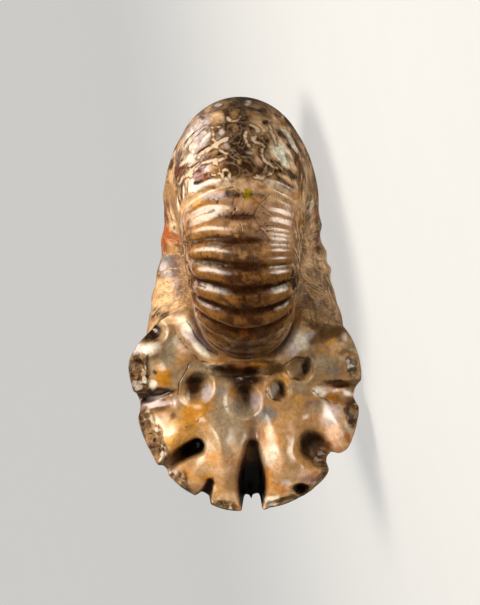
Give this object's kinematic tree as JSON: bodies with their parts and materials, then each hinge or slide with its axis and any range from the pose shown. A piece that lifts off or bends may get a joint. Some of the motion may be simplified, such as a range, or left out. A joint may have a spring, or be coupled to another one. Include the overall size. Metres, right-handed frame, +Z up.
{
  "type": "ammonite fossil",
  "caption": "Inflated ammonite fossil lying on its flank, with a ribbed inner whorl, a polished outer whorl and a folded end septum.",
  "frame": {"origin": "centre of the footprint, on the surface that the fossil lies on", "axes": "+Z up, with the fossil lying on its right flank; the end septum and the ribbed whorl face -Y, and the top of the outer whorl points to +X"},
  "size_m": [0.1388, 0.112, 0.0768],
  "materials": {
    "fossil_stone": "polished, mottled brown, cream and amber"
  },
  "bodies": {
    "root": {"ammonite": "fossil_stone"}
  },
  "joints": []
}
